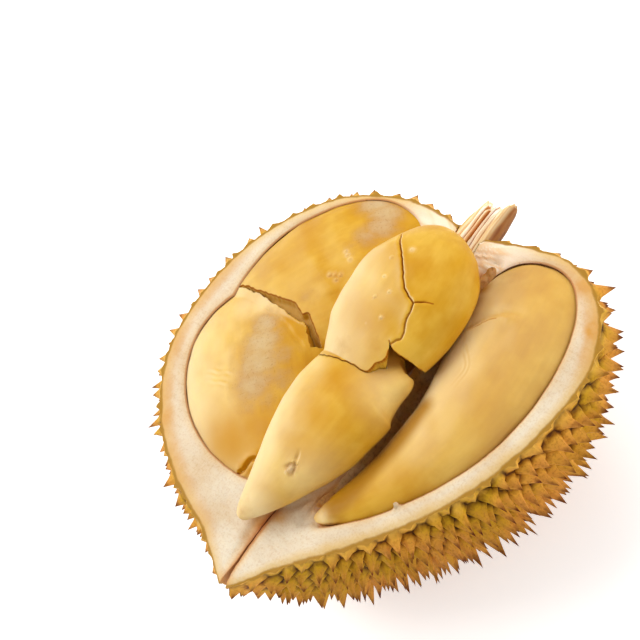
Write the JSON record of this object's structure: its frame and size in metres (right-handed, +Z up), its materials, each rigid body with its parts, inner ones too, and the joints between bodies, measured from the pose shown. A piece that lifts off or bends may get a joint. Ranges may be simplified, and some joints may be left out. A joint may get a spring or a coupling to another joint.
{
  "type": "durian",
  "caption": "Opened half of a thorny fruit lying on its thorns, with fleshy arils in a pale pith and a split stem stub.",
  "frame": {"origin": "on the surface that the half rests on, below the middle of its bounding box", "axes": "+Z up out of the opened face, +X from the pointed tip of the husk to the stem, +Y to the far side"},
  "size_m": [0.212, 0.2091, 0.1265],
  "materials": {
    "rind_and_pith": "matte thorny rind, olive brown to gold, with cream pith on the cut face",
    "stem_bark": "dry fibrous bark and split fibres, matte",
    "aril_flesh": "creamy yellow flesh under a thin satin skin"
  },
  "bodies": {
    "root": {"husk": "rind_and_pith", "stem": "stem_bark", "left_aril": "aril_flesh", "back_aril": "aril_flesh", "centre_upper_aril": "aril_flesh", "centre_lower_aril": "aril_flesh", "right_aril": "aril_flesh"}
  },
  "joints": []
}
